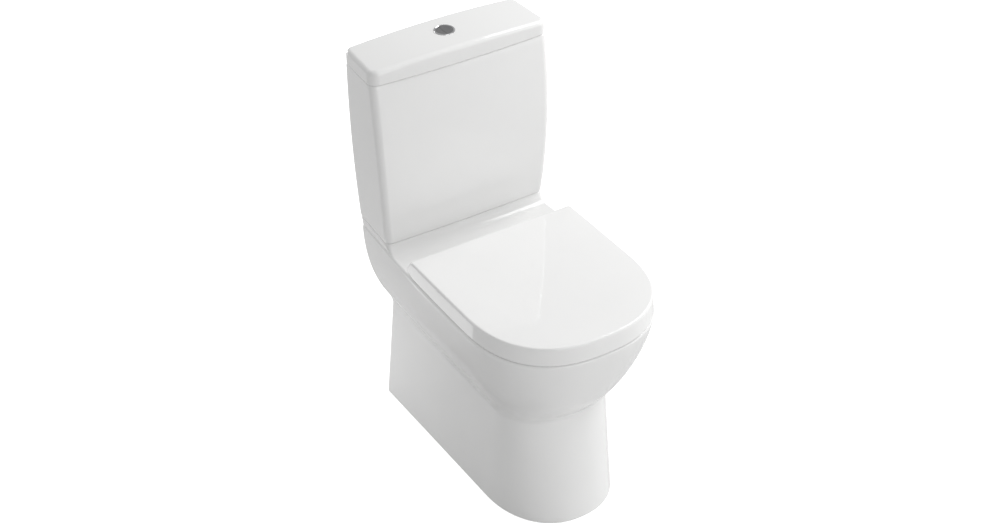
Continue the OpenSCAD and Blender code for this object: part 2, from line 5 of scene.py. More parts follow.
import bmesh
import bpy
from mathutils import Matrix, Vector


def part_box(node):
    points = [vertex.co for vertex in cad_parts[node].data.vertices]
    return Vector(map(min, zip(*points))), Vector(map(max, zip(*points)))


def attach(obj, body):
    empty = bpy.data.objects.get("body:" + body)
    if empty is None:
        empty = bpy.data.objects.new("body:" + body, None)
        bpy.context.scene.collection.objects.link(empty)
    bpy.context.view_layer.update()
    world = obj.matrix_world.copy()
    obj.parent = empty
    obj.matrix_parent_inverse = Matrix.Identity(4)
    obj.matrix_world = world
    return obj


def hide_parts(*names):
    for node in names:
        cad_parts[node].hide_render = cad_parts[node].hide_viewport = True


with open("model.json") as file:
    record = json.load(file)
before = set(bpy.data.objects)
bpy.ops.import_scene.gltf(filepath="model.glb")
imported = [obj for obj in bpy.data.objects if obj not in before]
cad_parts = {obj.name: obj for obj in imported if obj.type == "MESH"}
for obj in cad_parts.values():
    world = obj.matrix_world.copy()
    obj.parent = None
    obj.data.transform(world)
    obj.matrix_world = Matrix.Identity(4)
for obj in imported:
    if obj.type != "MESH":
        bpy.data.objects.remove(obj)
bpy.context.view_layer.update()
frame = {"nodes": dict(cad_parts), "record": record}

MM = 0.001


def box_mm(node):
    """Lowest and highest corner of a CAD node, in millimetres."""
    low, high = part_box(node)
    return [c / MM for c in low], [c / MM for c in high]


# ---- Driving dimensions, in millimetres, from the frame where it has them ----

PAN_LOW, PAN_HIGH = box_mm("pan")
TANK_HIGH = box_mm("cistern")[1]
COVER_HIGH = box_mm("cistern_lid")[1]
SEAT_LOW, SEAT_HIGH = box_mm("seat_lid")
PIN_LOW, PIN_HIGH = box_mm("hinge_pin_right")
BUTTON_LOW, BUTTON_HIGH = box_mm("button_housing")
FILL_LOW, FILL_HIGH = box_mm("fill_valve_nut")
VALVE_LOW, VALVE_HIGH = box_mm("flush_valve_base")

PAN_FRONT = PAN_LOW[1]
PAN_BACK = PAN_HIGH[1]
SHELF_Z = PAN_HIGH[2]
RIM_Z = 419
BOWL_HALF_W = 177
BACK_HALF_W = 161
BELLY_H = 202
CREASE_Z = 245
RIM_EDGE = 5
CHINA = 11
SUMP_Z = 80
HOLLOW_Z = 392
OUTLET_Z = 180
OUTLET_R = 51
JOINT_Z = TANK_HIGH[2]
TANK_BACK = TANK_HIGH[1]
TANK_FLOOR_Z = SHELF_Z + 12
COVER_TOP = COVER_HIGH[2]
COVER_CROWN = 7
CEILING_Z = COVER_TOP - 15
HINGE_Y = (PIN_LOW[1] + PIN_HIGH[1]) / 2
HINGE_Z = (PIN_LOW[2] + PIN_HIGH[2]) / 2
HINGE_X = (PIN_LOW[0] + PIN_HIGH[0]) / 2
PIN_R = (PIN_HIGH[2] - PIN_LOW[2]) / 2
SEAT_LOW_Z = SEAT_LOW[2]
SEAT_CROWN = 1.2
SEAT_EDGE_Z = SEAT_HIGH[2] - SEAT_CROWN
SEAT_WALL = 4.5
RING_LOW_Z = box_mm("seat_ring")[0][2]
RING_TOP_Z = RING_LOW_Z + 20
BUTTON_Y = (BUTTON_LOW[1] + BUTTON_HIGH[1]) / 2
VALVE_Y = (VALVE_LOW[1] + VALVE_HIGH[1]) / 2
FILL_X = (FILL_LOW[0] + FILL_HIGH[0]) / 2
COUPLING_X = 75
LUG_X = 92
LUG_Y = 215
KNUCKLE_X = 22.5
KNUCKLE_R = 8
KNUCKLE_HALF = 9
PIN_PLAY = 0.05
TANK_EDGE = 3


# ---- Numbers ----

def blend(a, b, t):
    return a + (b - a) * t


def clamp(t):
    return max(0.0, min(1.0, t))


def smooth_max(a, b, k):
    """Maximum of a and b, rounded over k."""
    return (a + b + math.sqrt((a - b) ** 2 + k * k)) / 2


def through(a, b, c, t):
    """Parabola through a at t 0, b at t 0.5 and c at t 1."""
    return a * (1 - t) * (1 - 2 * t) + 4 * b * t * (1 - t) + c * t * (2 * t - 1)


def steps(a, b, step):
    """Values from a up or down to b, about step apart, both ends included."""
    n = max(1, round(abs(b - a) / step))
    return [blend(a, b, i / n) for i in range(n + 1)]


def arc(n):
    """Angles of a quarter turn in n steps, both ends included."""
    return [math.pi / 2 * i / n for i in range(n + 1)]


# ---- Plans: right half outlines from front to back, in millimetres ----

FRONT_POINTS = 44
SIDE_STEPS = 28
TANK_FRONT_POINTS = 16
TANK_SIDE_STEPS = 12


def d_half(plan):
    """Outline of a D plan: (half width, half width at back, front, end of arc, back, fullness, corner)."""
    w, wb, front, turn, back, full, r = plan
    out = []
    for i in range(FRONT_POINTS):
        a = (i + 0.5) * math.pi / 2 / FRONT_POINTS
        k = (math.cos(a) ** full + math.sin(a) ** full) ** (-1 / full)
        out.append((w * math.sin(a) * k, turn - (turn - front) * math.cos(a) * k))
    for i in range(SIDE_STEPS + 1):
        t = i / SIDE_STEPS
        out.append((w - (w - wb) * t * t, blend(turn, back - r, t)))
    for a in arc(8)[1:]:
        out.append((wb - r + r * math.cos(a), back - r + r * math.sin(a)))
    for t in (0.85, 0.68, 0.51, 0.34, 0.17, 0.05):
        out.append(((wb - r) * t, back))
    return out


def d_inset(plan, d):
    """D plan moved in by d all round."""
    w, wb, front, turn, back, full, r = plan
    return (w - d, wb - d, front + d, turn, back - d, full, max(r - d, 2))


def d_blend(p, q, t):
    return tuple(blend(a, b, t) for a, b in zip(p, q))


def tank_half(plan):
    """Outline of a tank plan: (half width in front, at back, front, back, front radius, back radius, bow)."""
    w, wb, front, back, rf, rb, bow = plan
    edge = front + bow * ((w - rf) / w) ** 2
    out = []
    for i in range(TANK_FRONT_POINTS):
        x = (w - rf) * (i + 0.5) / TANK_FRONT_POINTS
        out.append((x, front + bow * (x / w) ** 2))
    lean = 2 * bow * (w - rf) / (w * w)
    for a in arc(10):
        soft = lean * rf * math.cos(a) * math.sin(a) * 0.5
        out.append((w - rf + rf * math.sin(a), edge + rf - rf * math.cos(a) + soft))
    for i in range(1, TANK_SIDE_STEPS):
        t = i / TANK_SIDE_STEPS
        out.append((blend(w, wb, t), blend(edge + rf, back - rb, t)))
    for a in arc(7):
        out.append((wb - rb + rb * math.cos(a), back - rb + rb * math.sin(a)))
    for t in (0.8, 0.6, 0.4, 0.2, 0.04):
        out.append(((wb - rb) * t, back))
    return out


def tank_inset(plan, d):
    """Tank plan moved in by d all round."""
    w, wb, front, back, rf, rb, bow = plan
    return (w - d, wb - d, front + d, back - d, max(rf - d, 2), max(rb - d, 2), bow)


def ring(half, z):
    """Closed ring from a right half. z is a height, or a function of x and y."""
    high = z if callable(z) else lambda x, y: z
    right = [(x, y, high(x, y)) for x, y in half]
    return right + [(-x, y, h) for x, y, h in reversed(right)]


# ---- Meshes ----

def new_object(name, bm):
    """Object from a bmesh in millimetres."""
    bmesh.ops.scale(bm, vec=(MM, MM, MM), verts=bm.verts)
    bmesh.ops.recalc_face_normals(bm, faces=bm.faces)
    mesh = bpy.data.meshes.new(name)
    bm.to_mesh(mesh)
    bm.free()
    obj = bpy.data.objects.new(name, mesh)
    bpy.context.scene.collection.objects.link(obj)
    return obj


def skin(name, rings, wrap=False):
    """Closed solid over a stack of rings; wrap joins the last ring to the first."""
    bm = bmesh.new()
    loops = [[bm.verts.new(p) for p in r] for r in rings]
    n = len(loops[0])
    for k in range(len(loops) if wrap else len(loops) - 1):
        low, high = loops[k], loops[(k + 1) % len(loops)]
        for i in range(n):
            bm.faces.new((low[i], high[i], high[(i + 1) % n], low[(i + 1) % n]))
    if not wrap:
        bm.faces.new(loops[0])
        bm.faces.new(list(reversed(loops[-1])))
    return new_object(name, bm)


def block(name, low, high):
    bm = bmesh.new()
    bmesh.ops.create_cube(bm, size=1)
    for v in bm.verts:
        v.co = [blend(low[i], high[i], v.co[i] + 0.5) for i in range(3)]
    return new_object(name, bm)


def rod(name, start, end, r, sides=64):
    """Cylinder between two points."""
    a, b = Vector(start), Vector(end)
    bm = bmesh.new()
    turn = (b - a).to_track_quat("Z", "Y").to_matrix().to_4x4()
    turn.translation = (a + b) / 2
    bmesh.ops.create_cone(bm, cap_ends=True, segments=sides, radius1=r, radius2=r,
                          depth=(b - a).length, matrix=turn)
    return new_object(name, bm)


def combine(obj, others, operation):
    """Boolean of obj with each other solid, applied. The others are used up."""
    for other in others:
        mod = obj.modifiers.new("combine", "BOOLEAN")
        mod.operation = operation
        mod.solver = "EXACT"
        mod.object = other
        apply_modifiers(obj)
        bpy.data.objects.remove(other)


def apply_modifiers(obj):
    graph = bpy.context.evaluated_depsgraph_get()
    made = bpy.data.meshes.new_from_object(obj.evaluated_get(graph))
    old = obj.data
    obj.modifiers.clear()
    obj.data = made
    made.name = obj.name
    bpy.data.meshes.remove(old)


def round_edges(obj, width, angle=50, segments=2):
    """Small round on the sharp edges that cuts leave."""
    mod = obj.modifiers.new("round", "BEVEL")
    mod.width = width * MM
    mod.segments = segments
    mod.limit_method = "ANGLE"
    mod.angle_limit = math.radians(angle)
    mod.use_clamp_overlap = True
    apply_modifiers(obj)


def smooth(obj, angle=38):
    """Smooth shading that keeps large flat faces flat and sharp edges sharp."""
    mesh = obj.data
    mesh.polygons.foreach_set("use_smooth", [True] * len(mesh.polygons))
    mesh.set_sharp_from_angle(angle=math.radians(angle))
    mod = obj.modifiers.new("normals", "WEIGHTED_NORMAL")
    mod.keep_sharp = True
    mod.weight = 60
    apply_modifiers(obj)


def both_sides(make, x):
    """What make gives at -x and at x."""
    return [make(-x), make(x)]


def slab(name, half_w, y_span, z_span):
    """Maker of a block about x, half_w each way, over a span in depth and one in height."""
    return lambda x: block(name, (x - half_w, y_span[0], z_span[0]), (x + half_w, y_span[1], z_span[1]))


def bore(x, y, z_span, r):
    """Upright cylinder to cut with."""
    return rod("cut", (x, y, z_span[0]), (x, y, z_span[1]), r)


def hinge_rods(name, middle, reach, r):
    """Cylinder on the hinge's axis on each side, reach each way from its middle."""
    return both_sides(lambda x: rod(name, (x - reach, HINGE_Y, HINGE_Z), (x + reach, HINGE_Y, HINGE_Z), r),
                      middle)


# ---- Pan ----

PEDESTAL_FOOT = (120, 122, -236, -88, 280, 2.2, 4)
PEDESTAL_HEAD = (108, 100, -192, -107, 280, 2.2, 4)
BELLY_SIDE = 91
BELLY_REAR = 85
BELLY_FRONT = 114
BELLY_TURN = 44
CREASE_REACH = 20
CREASE_SIDE_SOFT = 18
CREASE_REAR_SOFT = 16
CREASE_FRONT_SOFT = 14


def pedestal_plan(z):
    return d_blend(PEDESTAL_FOOT, PEDESTAL_HEAD, z / CREASE_Z)


def bowl_plan(z):
    """Outside of the bowl, drawn in from the rim down to the foot of the belly."""
    u = clamp((RIM_Z - z) / BELLY_H)
    side = 1 - (1 - u ** 1.38) ** 0.63
    rear = 1 - (1 - u ** 1.9) ** 0.6
    return (BOWL_HALF_W - BELLY_SIDE * side, BACK_HALF_W - BELLY_REAR * rear, PAN_FRONT + BELLY_FRONT * side,
            -108 + BELLY_TURN * side, PAN_BACK, 2.4, 6)


def pan_plan(z):
    """Outside of the pan: bowl and pedestal run into each other in a soft crease."""
    p, b = pedestal_plan(min(z, CREASE_Z + CREASE_REACH)), bowl_plan(z)
    t = clamp((z - (CREASE_Z - CREASE_REACH)) / (2 * CREASE_REACH))
    t = t * t * (3 - 2 * t)
    ends = [blend(p[i], b[i], t) for i in range(3, 7)]
    return (smooth_max(p[0], b[0], CREASE_SIDE_SOFT), smooth_max(p[1], b[1], CREASE_REAR_SOFT),
            -smooth_max(-p[2], -b[2], CREASE_FRONT_SOFT), *ends)


MOUTH = (122, 72, -238, -110, 50, 2.2, 50)
SUMP = (46, 44, -95, -55, 22, 2.2, 12)
SUMP_EDGE = 12
BOWL_TOP_Z = 372
LIP_Z = 388
LIP_UNDERCUT = 11


def bowl_inside(z):
    """Inside of the bowl below the lip, from the undercut mouth down to the sump."""
    s = clamp((BOWL_TOP_Z - z) / (BOWL_TOP_Z - SUMP_Z))
    return d_blend(d_inset(MOUTH, -LIP_UNDERCUT), SUMP, 0.25 * s + 0.75 * math.sin(math.pi / 2 * s))


def bowl_outside(z):
    """Back of the bowl's china, in the pedestal's hollow."""
    return d_inset(bowl_inside(z), -CHINA)


def pan_rings():
    """Hollow under the bowl, outside, rim, lip and bowl, in that order round the section."""
    rings = [ring(d_half(bowl_outside(z)), z) for z in steps(SUMP_Z - CHINA, HOLLOW_Z - 6, 24)]
    roof = d_blend(bowl_outside(HOLLOW_Z), d_inset(pan_plan(HOLLOW_Z), CHINA), 0.5)
    rings.append(ring(d_half(roof), HOLLOW_Z))
    rings += [ring(d_half(d_inset(pan_plan(z), CHINA)), z) for z in steps(HOLLOW_Z - 6, 0, 14)]
    edge_z = RIM_Z - RIM_EDGE
    rings += [ring(d_half(d_inset(pan_plan(0), 1.5)), 0), ring(d_half(pan_plan(1.5)), 1.5)]
    below, crease, above = steps(8, 216, 8), steps(219, 276, 3), steps(281, edge_z, 5)
    rings += [ring(d_half(pan_plan(z)), z) for z in below + crease + above]
    for a in arc(6)[1:]:
        rings.append(ring(d_half(d_inset(pan_plan(edge_z), RIM_EDGE * (1 - math.cos(a)))),
                          edge_z + RIM_EDGE * math.sin(a)))
    for a in reversed(arc(6)):
        rings.append(ring(d_half(d_inset(MOUTH, -RIM_EDGE * (1 - math.cos(a)))),
                          edge_z + RIM_EDGE * math.sin(a)))
    rings.append(ring(d_half(MOUTH), LIP_Z))
    for a in arc(4)[1:]:
        rings.append(ring(d_half(d_inset(MOUTH, -LIP_UNDERCUT * math.sin(a))),
                          LIP_Z - 3 - 5 * (1 - math.cos(a))))
    sump_top = SUMP_Z + SUMP_EDGE
    rings += [ring(d_half(bowl_inside(z)), z) for z in steps(BOWL_TOP_Z, sump_top, 9)]
    for a in arc(4)[1:]:
        rings.append(ring(d_half(d_inset(bowl_inside(sump_top), SUMP_EDGE * (1 - math.cos(a)))),
                          SUMP_Z + SUMP_EDGE * (1 - math.sin(a))))
    return rings


SHELF_FRONT = 167.5
SHELF_SWEEP = 20
SHELF_EDGE = 3


def shelf_plan(z):
    """Plan of the cistern's shelf, with a hollow curve down to the deck."""
    t = clamp((z - RIM_Z) / (SHELF_Z - RIM_Z))
    foot = SHELF_SWEEP * (1 - math.sqrt(1 - (1 - t) ** 2))
    return (168.2 + 2.3 * t, BACK_HALF_W - 0.4 + 2.4 * t, SHELF_FRONT - foot, PAN_BACK - 0.5,
            blend(4, 12, t), 5, 3)


def shelf():
    """Shelf that carries the cistern, sunk a little into the deck."""
    rings = [ring(tank_half(tank_inset(shelf_plan(RIM_Z), 2)), RIM_Z - 9)]
    rings.append(ring(tank_half(tank_inset(shelf_plan(RIM_Z), 0.6)), RIM_Z - 0.6))
    rings += [ring(tank_half(shelf_plan(z)), z)
              for z in [RIM_Z + 16 * (i / 16) ** 2 + 0.02 for i in range(16)]]
    for a in arc(4):
        rings.append(ring(tank_half(tank_inset(shelf_plan(SHELF_Z), SHELF_EDGE * (1 - math.cos(a)))),
                          SHELF_Z - SHELF_EDGE + SHELF_EDGE * math.sin(a)))
    return skin("shelf", rings)


TRAP_R = 32
TRAP_Y = 30
TRAP_LOW_Z = 112
TRAP_BEND = 45
TRAP_ANGLE = math.radians(60)
BEND_RISE = TRAP_BEND * (1 - math.cos(TRAP_ANGLE))
BEND_RUN = TRAP_BEND * math.sin(TRAP_ANGLE)
WEIR_Z = OUTLET_Z + 2 * BEND_RISE
WEIR_Y = TRAP_Y + 2 * BEND_RUN + (WEIR_Z - TRAP_LOW_Z - 2 * BEND_RISE) / math.tan(TRAP_ANGLE)
OUTLET_START = WEIR_Y + 2 * BEND_RUN


BEND_STEPS = 8


def trap_path(start_y):
    """Stations along the trap: (y, z, angle of climb)."""
    bend = [TRAP_ANGLE * i / BEND_STEPS for i in range(BEND_STEPS + 1)]
    path = [(start_y, TRAP_LOW_Z, 0)]
    path += [(TRAP_Y + TRAP_BEND * math.sin(a), TRAP_LOW_Z + TRAP_BEND * (1 - math.cos(a)), a) for a in bend]
    for a in list(reversed(bend)) + [-b for b in bend[1:]]:
        path.append((WEIR_Y - TRAP_BEND * math.sin(a), WEIR_Z - TRAP_BEND * (1 - math.cos(a)), a))
    for a in [-b for b in reversed(bend[:-1])]:
        path.append((OUTLET_START + TRAP_BEND * math.sin(a), OUTLET_Z + TRAP_BEND * (1 - math.cos(a)), a))
    return path + [(OUTLET_START + 14, OUTLET_Z, 0)]


def trap_pipe(r, start_y, sides=40):
    """Round solid of radius r along the trap."""
    turns = [2 * math.pi * i / sides for i in range(sides)]
    rings = []
    for y, z, climb in trap_path(start_y):
        rings.append([(-r * math.cos(a),
                       y - r * math.sin(a) * math.sin(climb),
                       z + r * math.sin(a) * math.cos(climb)) for a in turns])
    return skin("trap_pipe", rings)


REAR_WALL = (255, 295)
THROUGH_DECK = (400, 460)
OUTLET_WALL = 7
DECK_HOLLOW_X = 98
DECK_HOLLOW_HALF_W = 42
WINDOW_X = 80
GASKET_R = 44


def make_pan():
    pan = skin("pan_china", pan_rings())
    combine(pan, [slab("access", 80, REAR_WALL, (-1, 250))(0)], "DIFFERENCE")
    outlet = rod("outlet", (0, OUTLET_START - 1, OUTLET_Z), (0, PAN_BACK - 1, OUTLET_Z), OUTLET_R)
    round_edges(outlet, 2, segments=3)
    lugs = both_sides(slab("lug", 20, (LUG_Y - 22, LUG_Y + 22), (0, 20)), LUG_X)
    water_way = slab("water_way", 46, (64, 278), (352, 412))(0)
    combine(pan, [shelf(), water_way, trap_pipe(TRAP_R + CHINA - 1, TRAP_Y - 3.5), outlet, *lugs], "UNION")
    cuts = [
        trap_pipe(TRAP_R, -20),
        rod("cut", (0, OUTLET_START + 12, OUTLET_Z), (0, PAN_BACK + 50, OUTLET_Z), OUTLET_R - OUTLET_WALL),
        bore(0, VALVE_Y, (370, 450), 34),
        bore(0, VALVE_Y, (416, 456), GASKET_R),
        slab("cut", 34, (30, 256), (366, 392))(0),
        bore(FILL_X, VALVE_Y, THROUGH_DECK, 18),
    ]
    cuts += both_sides(slab("cut", DECK_HOLLOW_HALF_W, (60, 162), (380, 404)), DECK_HOLLOW_X)
    cuts += both_sides(slab("cut", DECK_HOLLOW_HALF_W, (161, 261), (380, 420)), DECK_HOLLOW_X)
    cuts += both_sides(slab("cut", 24, REAR_WALL, (262, 402)), WINDOW_X)
    cuts += both_sides(lambda x: bore(x, HINGE_Y, (390, 430), 6), HINGE_X)
    cuts += both_sides(lambda x: bore(x, VALVE_Y, THROUGH_DECK, 6), COUPLING_X)
    cuts += both_sides(lambda x: bore(x, LUG_Y, (-1, 29), 5), LUG_X)
    combine(pan, cuts, "DIFFERENCE")
    smooth(pan)
    return pan


# ---- Cistern ----

def cistern_plan(z):
    t = (z - SHELF_Z) / (JOINT_Z - SHELF_Z)
    return (through(170.5, 181, 183.4, t), through(163, 174.5, 178, t), through(167, 160.5, 176, t),
            TANK_BACK, through(12, 13, 14, t), 8, 3 + 3 * t)


COVER_PLAN = (COVER_HIGH[0], 179, 175, COVER_HIGH[1], 18, 15, 6)


TANK_COVE = 14
TANK_HOLES = (SHELF_Z - 10, SHELF_Z + 30)


def make_cistern():
    foot, top, floor = cistern_plan(SHELF_Z), cistern_plan(JOINT_Z), cistern_plan(TANK_FLOOR_Z)
    rings = []
    for a in arc(4):
        rings.append(ring(tank_half(tank_inset(foot, TANK_EDGE * (1 - math.sin(a)))),
                          SHELF_Z + TANK_EDGE * (1 - math.cos(a))))
    rings += [ring(tank_half(cistern_plan(z)), z) for z in steps(SHELF_Z + 8, JOINT_Z - 3.5, 10)]
    for a in arc(4)[1:]:
        rings.append(ring(tank_half(tank_inset(top, TANK_EDGE * (1 - math.cos(a)))),
                          JOINT_Z - TANK_EDGE + TANK_EDGE * math.sin(a)))
    inside = steps(JOINT_Z, TANK_FLOOR_Z + TANK_COVE, 24)
    rings += [ring(tank_half(tank_inset(cistern_plan(z), CHINA)), z) for z in inside]
    for a in arc(4)[1:]:
        rings.append(ring(tank_half(tank_inset(floor, CHINA + TANK_EDGE * (1 - math.cos(a)))),
                          TANK_FLOOR_Z + TANK_COVE * (1 - math.sin(a))))
    tank = skin("cistern_china", rings)
    cuts = [bore(0, VALVE_Y, TANK_HOLES, 32), bore(FILL_X, VALVE_Y, TANK_HOLES, 11.5)]
    cuts += both_sides(lambda x: bore(x, VALVE_Y, TANK_HOLES, 5), COUPLING_X)
    combine(tank, cuts, "DIFFERENCE")
    smooth(tank)
    return tank


def crowned(drop):
    """Height of the lid's crowned top, less drop."""
    return lambda x, y: COVER_TOP - drop - COVER_CROWN * (x / COVER_PLAN[0]) ** 2


def shrunk(half, k):
    """Half plan shrunk towards the button."""
    return [(x * k, blend(BUTTON_Y, y, k)) for x, y in half]


COVER_EDGE = 9
COVER_LOW_EDGE = 2.5
COVER_LOW_Z = JOINT_Z + 0.2


def make_cistern_lid():
    top = tank_half(tank_inset(COVER_PLAN, COVER_EDGE))
    side = tank_half(COVER_PLAN)
    roof = tank_half(tank_inset(COVER_PLAN, 14))
    rings = [ring(shrunk(roof, 0.5), CEILING_Z), ring(roof, CEILING_Z)]
    rings += [ring(tank_half(tank_inset(COVER_PLAN, 8)), z) for z in (CEILING_Z - 6, COVER_LOW_Z)]
    for a in arc(4):
        rings.append(ring(tank_half(tank_inset(COVER_PLAN, COVER_LOW_EDGE * (1 - math.sin(a)))),
                          COVER_LOW_Z + COVER_LOW_EDGE * (1 - math.cos(a))))
    for t in (0, 0.25, 0.5, 0.75):
        rings.append(ring(side, lambda x, y: blend(JOINT_Z + 4, crowned(COVER_EDGE)(x, y), t)))
    for a in arc(8):
        rings.append(ring(tank_half(tank_inset(COVER_PLAN, COVER_EDGE * (1 - math.cos(a)))),
                          crowned(COVER_EDGE * (1 - math.sin(a)))))
    for k in (0.97, 0.93, 0.88, 0.8, 0.7, 0.6, 0.5, 0.4, 0.3, 0.2, 0.05):
        rings.append(ring(shrunk(top, k), crowned(0)))
    lid = skin("cistern_lid_china", rings)
    combine(lid, [bore(0, BUTTON_Y, (CEILING_Z - 20, CEILING_Z + 40), 18)], "DIFFERENCE")
    smooth(lid)
    return lid


# ---- Seat ----

LID_NOSE_R = 20.5
LID_BACK_SLOPE = 0.67


def lid_back(z):
    """Rear end of the seat lid in side view: round about the hinge below, sloping above."""
    nose = math.sqrt(max(0, LID_NOSE_R ** 2 - min(0, z - HINGE_Z) ** 2))
    return HINGE_Y + min(nose, 7 + (SEAT_EDGE_Z - z) * LID_BACK_SLOPE)


def seat_lid_plan(z):
    t = clamp((z - RIM_Z) / (SEAT_EDGE_Z - RIM_Z))
    return (blend(175.4, 174, t), blend(172.5, 173, t), blend(PAN_FRONT + 0.3, -285, t), -104,
            lid_back(z), 2.45, 6)


def make_seat_lid():
    under = SEAT_EDGE_Z - SEAT_WALL
    low, low_edge = SEAT_LOW_Z, 1.2
    edge = 3.5
    rings = [ring(d_half(d_inset(seat_lid_plan(under), 12)), under)]
    rings += [ring(d_half(d_inset(seat_lid_plan(z), SEAT_WALL)), z) for z in steps(under - 3, low, 3)]
    for a in arc(3):
        z = low + low_edge * (1 - math.cos(a))
        rings.append(ring(d_half(d_inset(seat_lid_plan(z), low_edge * (1 - math.sin(a)))), z))
    rings += [ring(d_half(seat_lid_plan(z)), z) for z in steps(low + 3, SEAT_EDGE_Z - edge - 1, 2)]
    for a in arc(6):
        rings.append(ring(d_half(d_inset(seat_lid_plan(SEAT_EDGE_Z), edge * (1 - math.cos(a)))),
                          SEAT_EDGE_Z - edge * (1 - math.sin(a))))
    for k in (8, 16, 26, 38, 50, 62):
        rings.append(ring(d_half(d_inset(seat_lid_plan(SEAT_EDGE_Z), k)),
                          SEAT_EDGE_Z + SEAT_CROWN * math.sin(math.pi / 2 * clamp((k - edge) / 58))))
    lid = skin("seat_lid_shell", rings)
    middle = HINGE_X + KNUCKLE_X
    arms = hinge_rods("knuckle", middle, KNUCKLE_HALF, KNUCKLE_R)
    arms += both_sides(slab("web", KNUCKLE_HALF, (HINGE_Y - 7, HINGE_Y + 5), (HINGE_Z, under + 1)), middle)
    combine(lid, arms, "UNION")
    cuts = hinge_rods("cut", middle, 20, PIN_R + PIN_PLAY)
    cuts += both_sides(slab("cut", 13, (HINGE_Y - 14, HINGE_Y + 36), (RIM_Z, under)), HINGE_X)
    combine(lid, cuts, "DIFFERENCE")
    smooth(lid)
    return lid


RING_PLAN = (167.5, 163, -279, -106, 62, 2.4, 14)
RING_MOUTH = (110, 78, -224, -112, 34, 2.2, 50)


def make_seat_ring():
    edge = 6
    rings = [ring(d_half(d_inset(RING_PLAN, 3)), RING_LOW_Z), ring(d_half(RING_PLAN), RING_LOW_Z + 3)]
    for a in arc(6):
        rings.append(ring(d_half(d_inset(RING_PLAN, edge * (1 - math.cos(a)))),
                          RING_TOP_Z - edge * (1 - math.sin(a))))
    for a in reversed(arc(6)):
        rings.append(ring(d_half(d_inset(RING_MOUTH, -edge * (1 - math.cos(a)))),
                          RING_TOP_Z - edge * (1 - math.sin(a)) - 2))
    rings += [ring(d_half(RING_MOUTH), RING_LOW_Z + 3), ring(d_half(d_inset(RING_MOUTH, -3)), RING_LOW_Z)]
    seat = skin("seat_ring_shell", rings, wrap=True)
    middle = HINGE_X - KNUCKLE_X
    arms = hinge_rods("knuckle", middle, KNUCKLE_HALF, KNUCKLE_R)
    arms += both_sides(slab("web", KNUCKLE_HALF, (HINGE_Y - 21, HINGE_Y), (HINGE_Z - 6, HINGE_Z + 3)), middle)
    combine(seat, arms, "UNION")
    combine(seat, hinge_rods("cut", middle, 20, PIN_R + PIN_PLAY), "DIFFERENCE")
    smooth(seat)
    return seat


# ---- Materials ----

def material(name, colour, rough, metal=0.0, mottle=0.02, mottle_scale=9.0, grain=0.02, grain_scale=260.0,
             rough_spread=0.03, coat=0.0, ior=1.5):
    """Procedural finish: a soft mottle in the colour, an uneven gloss and a fine surface grain."""
    mat = bpy.data.materials.new(name)
    mat.use_nodes = True
    nodes, links = mat.node_tree.nodes, mat.node_tree.links
    shader = nodes["Principled BSDF"]
    shader.inputs["Metallic"].default_value = metal
    shader.inputs["IOR"].default_value = ior
    shader.inputs["Coat Weight"].default_value = coat
    shader.inputs["Coat Roughness"].default_value = 0.05
    place = nodes.new("ShaderNodeTexCoord")

    def noise(scale, detail):
        tex = nodes.new("ShaderNodeTexNoise")
        tex.inputs["Scale"].default_value = scale
        tex.inputs["Detail"].default_value = detail
        links.new(place.outputs["Object"], tex.inputs["Vector"])
        return tex.outputs["Fac"]

    ramp = nodes.new("ShaderNodeValToRGB")
    ramp.color_ramp.elements[0].position = 0.35
    ramp.color_ramp.elements[1].position = 0.65
    ramp.color_ramp.elements[0].color = [c * (1 - mottle) for c in colour] + [1]
    ramp.color_ramp.elements[1].color = list(colour) + [1]
    links.new(noise(mottle_scale, 3), ramp.inputs["Fac"])
    links.new(ramp.outputs["Color"], shader.inputs["Base Color"])
    gloss = nodes.new("ShaderNodeMapRange")
    gloss.inputs["To Min"].default_value = rough
    gloss.inputs["To Max"].default_value = rough + rough_spread
    links.new(noise(mottle_scale * 3, 4), gloss.inputs["Value"])
    links.new(gloss.outputs["Result"], shader.inputs["Roughness"])
    bump = nodes.new("ShaderNodeBump")
    bump.inputs["Strength"].default_value = grain
    bump.inputs["Distance"].default_value = 0.001
    links.new(noise(grain_scale, 2), bump.inputs["Height"])
    links.new(bump.outputs["Normal"], shader.inputs["Normal"])
    return mat


FINISHES = {
    "china": material("glazed_china", (0.86, 0.86, 0.855), 0.04, mottle=0.012, grain=0.02, grain_scale=45,
                      rough_spread=0.02),
    "seat_plastic": material("seat_thermoset", (0.87, 0.87, 0.865), 0.03, mottle=0.01, grain=0.02,
                             grain_scale=70, rough_spread=0.02),
    "buffer_rubber": material("buffer_rubber", (0.7, 0.7, 0.68), 0.5, grain=0.2, grain_scale=900),
    "chrome": material("chrome_plate", (0.62, 0.62, 0.63), 0.08, metal=1, grain=0.03, grain_scale=300),
    "dark_chrome": material("dark_chrome_plate", (0.3, 0.3, 0.305), 0.3, metal=1, grain=0.05,
                            grain_scale=500),
    "steel": material("stainless", (0.5, 0.5, 0.51), 0.3, metal=1, mottle=0.08, grain=0.1, grain_scale=600),
    "black_rubber": material("black_rubber", (0.02, 0.02, 0.02), 0.6, mottle=0.2, grain=0.3, grain_scale=900),
    "white_plastic": material("moulded_white", (0.72, 0.73, 0.73), 0.4, mottle=0.03, grain=0.15,
                              grain_scale=700),
    "grey_plastic": material("moulded_grey", (0.13, 0.14, 0.16), 0.42, mottle=0.06, grain=0.15,
                             grain_scale=700),
    "blue_plastic": material("moulded_blue", (0.04, 0.13, 0.32), 0.4, mottle=0.06, grain=0.15,
                             grain_scale=700),
    "brass": material("plain_brass", (0.6, 0.43, 0.2), 0.3, metal=1, mottle=0.15, grain=0.1, grain_scale=500),
}


def finish_as(obj, slot_name):
    obj.data.materials.clear()
    obj.data.materials.append(FINISHES[slot_name])


# ---- The pieces that stand for CAD nodes ----

